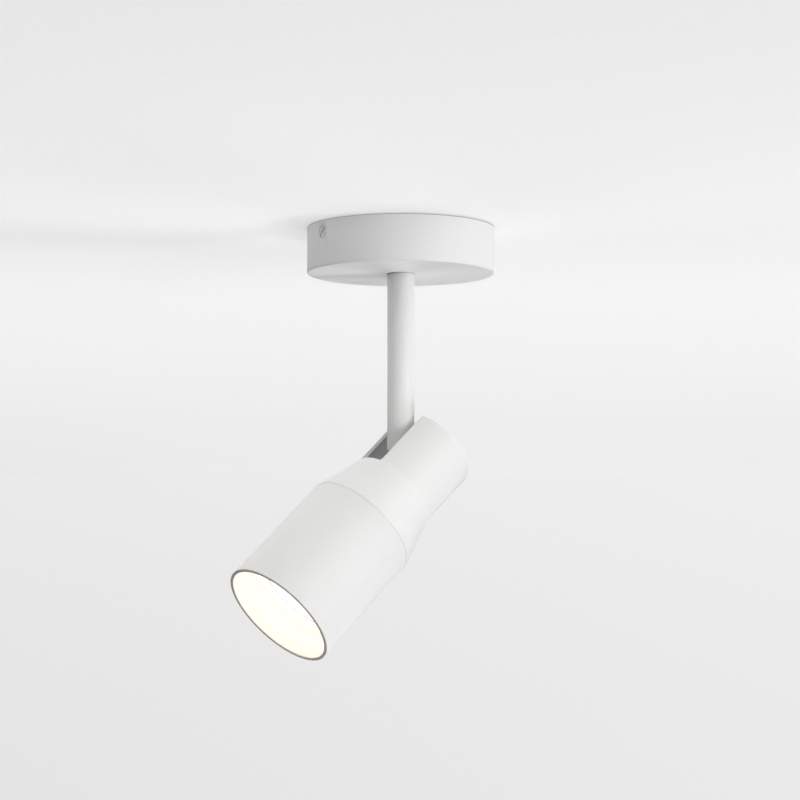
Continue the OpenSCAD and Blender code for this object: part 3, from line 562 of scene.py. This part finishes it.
def turnedRing(name, profile, place, material):  # closed ring turned from (radius, z) points
    count = len(profile)
    verts, faces = [], []
    for i in range(ringSides):
        angle = 2 * math.pi * i / ringSides
        verts += [(r * math.cos(angle), r * math.sin(angle), z) for r, z in profile]
        here, there = i * count, (i + 1) % ringSides * count
        for k in range(count):
            following = (k + 1) % count
            faces.append((here + k, there + k, there + following, here + following))
    made = meshObject(name, verts, faces, material)
    cleaned(made, place)
    return smoothed(made)


# White ring round the lamp's front that closes the gap to the shade, with a folded outer edge
# and a broken inner one
gapRing = dict(atS=0.0838, outerR=0.02977, innerR=0.0247, thick=0.0009, fold=0.0022,
               foldThick=0.0006, footIn=0.0012, footUp=0.0002, breakIn=0.0004, breakDown=0.0003)
d = gapRing
made = turnedRing("lampRing", [
    (d["outerR"], 0), (d["outerR"], d["fold"]), (d["outerR"] - d["foldThick"], d["fold"]),
    (d["outerR"] - d["footIn"], d["thick"] + d["footUp"]),
    (d["innerR"] + d["breakIn"], d["thick"]), (d["innerR"], d["thick"] - d["breakDown"]),
    (d["innerR"], 0)], alongHead(d["atS"]), litRing)
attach(made, "head")

# White gasket at the bottom of the groove between cone and shade
seamRing = dict(atS=0.03602, wide=0.00026, innerR=0.0298, outerR=0.03112)
d = seamRing
made = turnedRing("seamGasket", [
    (d["innerR"], 0), (d["outerR"], 0), (d["outerR"], d["wide"]), (d["innerR"], d["wide"])],
    alongHead(d["atS"]), powderCoat)
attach(made, "head")
print("ribs, facets and rings made")

# Ceiling, walls and floor. Each shows from inside only, so that the views from above look through
# it. The walls and the floor take no part in the light, which comes in through them. The ceiling
# has a hole in the mounting plate's outline, so that the plate's top can be lit
room = dict(reach=2.4, rings=(0.06, 0.2, 0.8), cove=1.0, coveSteps=24, floorZ=-2.6, floorR=7.0,
            steps=96, lift=0.00005, plateR=0.036, armW=0.014, armY=0.0481)
plasterCoat = dict(grain=0.004, detail=5.0, low=0.2, high=0.8, mottle=0.015, relief=0.0002,
                   paint="#B4B4B4", sideways=-0.105, wallSideways=0.035)
# Brightness of the plaster in bounced light: of the ceiling by the distance behind the lamp, and
# of the walls by the height
ceilingGlow = {-0.6: 0.493, -0.15: 0.565, 0.05: 0.561, 0.25: 0.599, 0.55: 0.579, 0.9: 0.559,
               1.3: 0.555, 1.7: 0.608, 2.0: 0.666, 2.4: 0.748}
wallGlow = {-2.6: 0.79, -0.6: 0.798, -0.35: 0.808, -0.15: 0.822, 0.0: 0.84}
# The ceiling out of the picture lights the lamp more from the left and the front, as windows
# there would. Left and right are slopes from the camera's place, and the camera sees it evenly
sideGlow = dict(start=0.2, end=0.5, left=2.1, right=1.05, frontStart=0.5, frontEnd=0.9, front=2.1,
                camera=1.28, least=0.3)
farGlow = dict(start=0.5, end=2.4, right=0.15)  # far behind the lamp it rises towards the right
contact = dict(canopyR=0.05, share=0.08, fall=3.2)  # less bounced light comes in at the canopy
turn = math.radians(camera["turn"])
right = Vector((math.cos(turn), math.sin(turn), 0))
ahead = Vector((-math.sin(turn), math.cos(turn), 0))


def ceilingFactors(tree, place, along, across):  # what changes the ceiling's glow, one by one
    d = sideGlow
    seen = addNode(tree, "ShaderNodeLightPath").outputs["Is Camera Ray"]
    far = addNode(tree, "ShaderNodeMath", {0: along, 1: d["camera"]}, operation="ADD")
    kept = addNode(tree, "ShaderNodeMath", {0: far.outputs[0], 1: d["least"]}, operation="MAXIMUM")
    slope = addNode(tree, "ShaderNodeMath", {0: across, 1: kept.outputs[0]}, operation="DIVIDE")
    factors = []
    for value, start, end, gain in (
            (slope.outputs[0], -d["start"], -d["end"], d["left"]),
            (slope.outputs[0], d["start"], d["end"], d["right"]),
            (along, -d["frontStart"], -d["frontEnd"], d["front"])):
        change = addNode(tree, "ShaderNodeMapRange", {
            "Value": value, "From Min": start, "From Max": end, "To Min": 1.0, "To Max": gain})
        factors.append(addNode(tree, "ShaderNodeMix", {
            0: seen, 2: change.outputs["Result"], 3: 1.0}, data_type="FLOAT").outputs[0])
    rise = addNode(tree, "ShaderNodeMapRange", {
        "Value": along, "From Min": farGlow["start"], "From Max": farGlow["end"],
        "To Max": farGlow["right"]})
    factors.append(addNode(tree, "ShaderNodeMath", {
        0: across, 1: rise.outputs["Result"], 2: 1.0}, operation="MULTIPLY_ADD").outputs[0])
    away = addNode(tree, "ShaderNodeVectorMath", {0: place}, operation="LENGTH")
    near = addNode(tree, "ShaderNodeMath", {0: contact["canopyR"], 1: away.outputs["Value"]},
                   operation="DIVIDE")
    fallen = addNode(tree, "ShaderNodeMath", {0: near.outputs[0], 1: contact["fall"]},
                     operation="POWER")
    factors.append(addNode(tree, "ShaderNodeMath", {
        0: fallen.outputs[0], 1: -contact["share"], 2: 1.0}, operation="MULTIPLY_ADD").outputs[0])
    return factors


def plaster(name, direction, tones, painted):
    # Painted plaster with a roller's grain of 4 mm. Its glow stands for the light that the whole
    # room throws back at it, and a painted one takes the light of the lamps on top
    d = plasterCoat
    made = bpy.data.materials.new(name)
    made.use_nodes = True
    tree = made.node_tree
    tree.nodes.remove(tree.nodes["Principled BSDF"])
    place = addNode(tree, "ShaderNodeTexCoord").outputs["Object"]
    grains = addNode(tree, "ShaderNodeTexNoise", {
        "Vector": place, "Scale": 1 / d["grain"], "Detail": d["detail"]}).outputs["Fac"]
    along = addNode(tree, "ShaderNodeVectorMath", {0: place, 1: tuple(direction)},
                    operation="DOT_PRODUCT").outputs["Value"]
    across = addNode(tree, "ShaderNodeVectorMath", {0: place, 1: tuple(right)},
                     operation="DOT_PRODUCT").outputs["Value"]
    low, high = min(tones), max(tones)
    share = addNode(tree, "ShaderNodeMapRange", {
        "Value": along, "From Min": low, "From Max": high})
    ramp = addNode(tree, "ShaderNodeValToRGB", {"Fac": share.outputs["Result"]})
    stops = ramp.color_ramp.elements
    while len(stops) < len(tones):
        stops.new(0.5)
    for stop, (at, tone) in zip(stops, sorted(tones.items())):
        stop.position, stop.color = (at - low) / (high - low), (tone, tone, tone, 1)

    mottled = addNode(tree, "ShaderNodeMapRange", {
        "Value": grains, "From Min": d["low"], "From Max": d["high"],
        "To Min": 1 - d["mottle"], "To Max": 1 + d["mottle"]})
    slant = d["sideways"] if painted else d["wallSideways"]
    slanted = addNode(tree, "ShaderNodeMapRange", {
        "Value": across, "From Min": -1.0, "From Max": 1.0,
        "To Min": 1 - slant, "To Max": 1 + slant})
    strength = mottled.outputs["Result"]
    factors = [slanted.outputs["Result"]]
    if painted:
        factors += ceilingFactors(tree, place, along, across)
    for factor in factors:
        strength = addNode(tree, "ShaderNodeMath", {0: strength, 1: factor},
                           operation="MULTIPLY").outputs[0]
    shown = addNode(tree, "ShaderNodeEmission", {
        "Color": ramp.outputs["Color"], "Strength": strength}).outputs[0]
    if painted:
        relief = addNode(tree, "ShaderNodeBump", {
            "Height": grains, "Distance": d["relief"], "Strength": 1.0})
        paint = addNode(tree, "ShaderNodeBsdfDiffuse", {
            "Color": linear(d["paint"]), "Normal": relief.outputs["Normal"]})
        shown = addNode(tree, "ShaderNodeAddShader", {0: shown, 1: paint.outputs[0]}).outputs[0]
    clear = addNode(tree, "ShaderNodeBsdfTransparent")
    side = addNode(tree, "ShaderNodeNewGeometry").outputs["Backfacing"]
    both = addNode(tree, "ShaderNodeMixShader", {0: side, 1: shown, 2: clear.outputs[0]})
    tree.links.new(both.outputs[0], tree.nodes["Material Output"].inputs["Surface"])
    return made


def plateOutline(count):  # the mounting plate's outline: a disc with an arm to each side
    points = []
    half, reach = room["armW"] / 2, room["armY"]
    corner = math.atan2(math.sqrt(room["plateR"] ** 2 - half ** 2), half)
    for i in range(count):
        angle = 2 * math.pi * (i + 0.5) / count
        x, y = math.cos(angle), math.sin(angle)
        if abs(abs(angle % math.pi) - math.pi / 2) < math.pi / 2 - corner:
            size = min(reach / abs(y), half / max(abs(x), 1e-6))
        else:
            size = room["plateR"]
        points.append((size * x, size * y, room["lift"]))
    return points


def makeRoom():
    ceilingPaint = plaster("ceilingPlaster", ahead, ceilingGlow, True)
    wallPaint = plaster("wallPlaster", Vector((0, 0, 1)), wallGlow, False)
    steps = room["steps"]
    profile = [(radius, 0) for radius in room["rings"] + (room["reach"],)]
    edgeRing = len(profile)  # the ring where the ceiling ends and the walls begin
    for i in range(1, room["coveSteps"] + 1):
        angle = math.pi / 2 * i / room["coveSteps"]
        profile.append((room["reach"] + room["cove"] * math.sin(angle),
                        -room["cove"] * (1 - math.cos(angle))))
    profile.append((room["reach"] + room["cove"], room["floorZ"]))
    verts = plateOutline(steps)
    for radius, z in profile:
        for i in range(steps):
            angle = 2 * math.pi * (i + 0.5) / steps
            verts.append((radius * math.cos(angle), radius * math.sin(angle), z + room["lift"]))
    split = edgeRing * steps
    faces = []
    for first in range(0, len(verts) - steps, steps):
        for i in range(steps):
            j = (i + 1) % steps
            faces.append((first + i, first + j, first + steps + j, first + steps + i))
    ceiling = meshObject("ceiling", verts[:split + steps], faces[:split], ceilingPaint)
    wallFaces = [tuple(k - split for k in face) for face in faces[split:]]
    walls = meshObject("walls", verts[split:], wallFaces, wallPaint)
    r, z = room["floorR"], room["floorZ"]
    floor = meshObject("floor", [(-r, -r, z), (r, -r, z), (r, r, z), (-r, r, z)], [(0, 1, 2, 3)],
                       wallPaint)
    for piece in (walls, floor):
        piece.visible_shadow = piece.visible_diffuse = piece.visible_glossy = False
    for piece in (ceiling, walls):
        for face in piece.data.polygons:
            face.use_smooth = True


makeRoom()
print("room made")

# Below the ceiling all light comes from the plaster and the lamps. The world lights what lies
# over the ceiling's plane, for the views from above, and is as bright as the plaster where the
# camera sees it
above = dict(level=0.84, flattest=0.12)
world = bpy.data.worlds.new("lightFromAbove")
scene.world = world
world.use_nodes = True
tree = world.node_tree
way = addNode(tree, "ShaderNodeTexCoord").outputs["Generated"]
up = addNode(tree, "ShaderNodeSeparateXYZ", {0: way}).outputs["Z"]
steep = addNode(tree, "ShaderNodeMath", {0: up, 1: above["flattest"]}, operation="GREATER_THAN")
seen = addNode(tree, "ShaderNodeLightPath").outputs["Is Camera Ray"]
either = addNode(tree, "ShaderNodeMath", {0: steep.outputs[0], 1: seen}, operation="MAXIMUM")
level = addNode(tree, "ShaderNodeMath", {0: either.outputs[0], 1: above["level"]},
                operation="MULTIPLY")
tree.links.new(level.outputs[0], tree.nodes["Background"].inputs["Strength"])
tree.nodes["Background"].inputs["Color"].default_value = (1, 1, 1, 1)

# Daylight from a window to the right, and its bounce from the walls and the floor. A turn is
# counted in degrees from the picture's right, and the distances are from the lamp's axis
daylight, bounce = "#FAFAFF", "#FFFEFE"
lights = dict(
    windowHigh=dict(turn=344, away=1.55, z=-1.55, aimZ=-0.05, wide=0.5, high=0.5, watts=11.3,
                    colour=daylight),
    sideBounce=dict(turn=330, away=2.2, z=-0.45, aimZ=-0.12, wide=0.7, high=0.6, watts=9.0,
                    colour=bounce),
    frontFloor=dict(turn=300, away=1.6, z=-1.6, aimZ=-0.12, wide=1.2, high=1.2, watts=14.0,
                    colour=bounce),
    backFloor=dict(turn=60, away=1.6, z=-1.6, aimZ=-0.12, wide=1.2, high=1.2, watts=14.0,
                   colour=bounce),
    farFloor=dict(turn=120, away=1.6, z=-1.6, aimZ=-0.12, wide=1.2, high=1.2, watts=9.6,
                  colour=bounce),
)
for name, d in lights.items():
    data = bpy.data.lights.new(name, "AREA")
    data.shape, data.size, data.size_y = "RECTANGLE", d["wide"], d["high"]
    data.energy, data.color = d["watts"], linear(d["colour"])[:3]
    made = bpy.data.objects.new(name, data)
    scene.collection.objects.link(made)
    around = math.radians(d["turn"])
    place = (right * math.cos(around) + ahead * math.sin(around)) * d["away"]
    place.z = d["z"]
    made.location = place
    made.rotation_euler = (Vector((0, 0, d["aimZ"])) - place).to_track_quat("-Z", "Y").to_euler()
    made.visible_camera = False

lampLight = bpy.data.lights.new("lampLight", "AREA")
lampLight.shape, lampLight.size = "DISK", 2 * lamp["lensR"]
lampLight.energy, lampLight.color = lamp["watts"], linear(lamp["colour"])[:3]
lampLightObject = bpy.data.objects.new("lampLight", lampLight)
scene.collection.objects.link(lampLightObject)
lampLightObject.matrix_world = (alongHead(head["lensAt"] + lamp["lightLift"])
                                @ Matrix.Rotation(math.pi, 4, "X"))
lampLightObject.visible_camera = False
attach(lampLightObject, "head")
print("lights set")
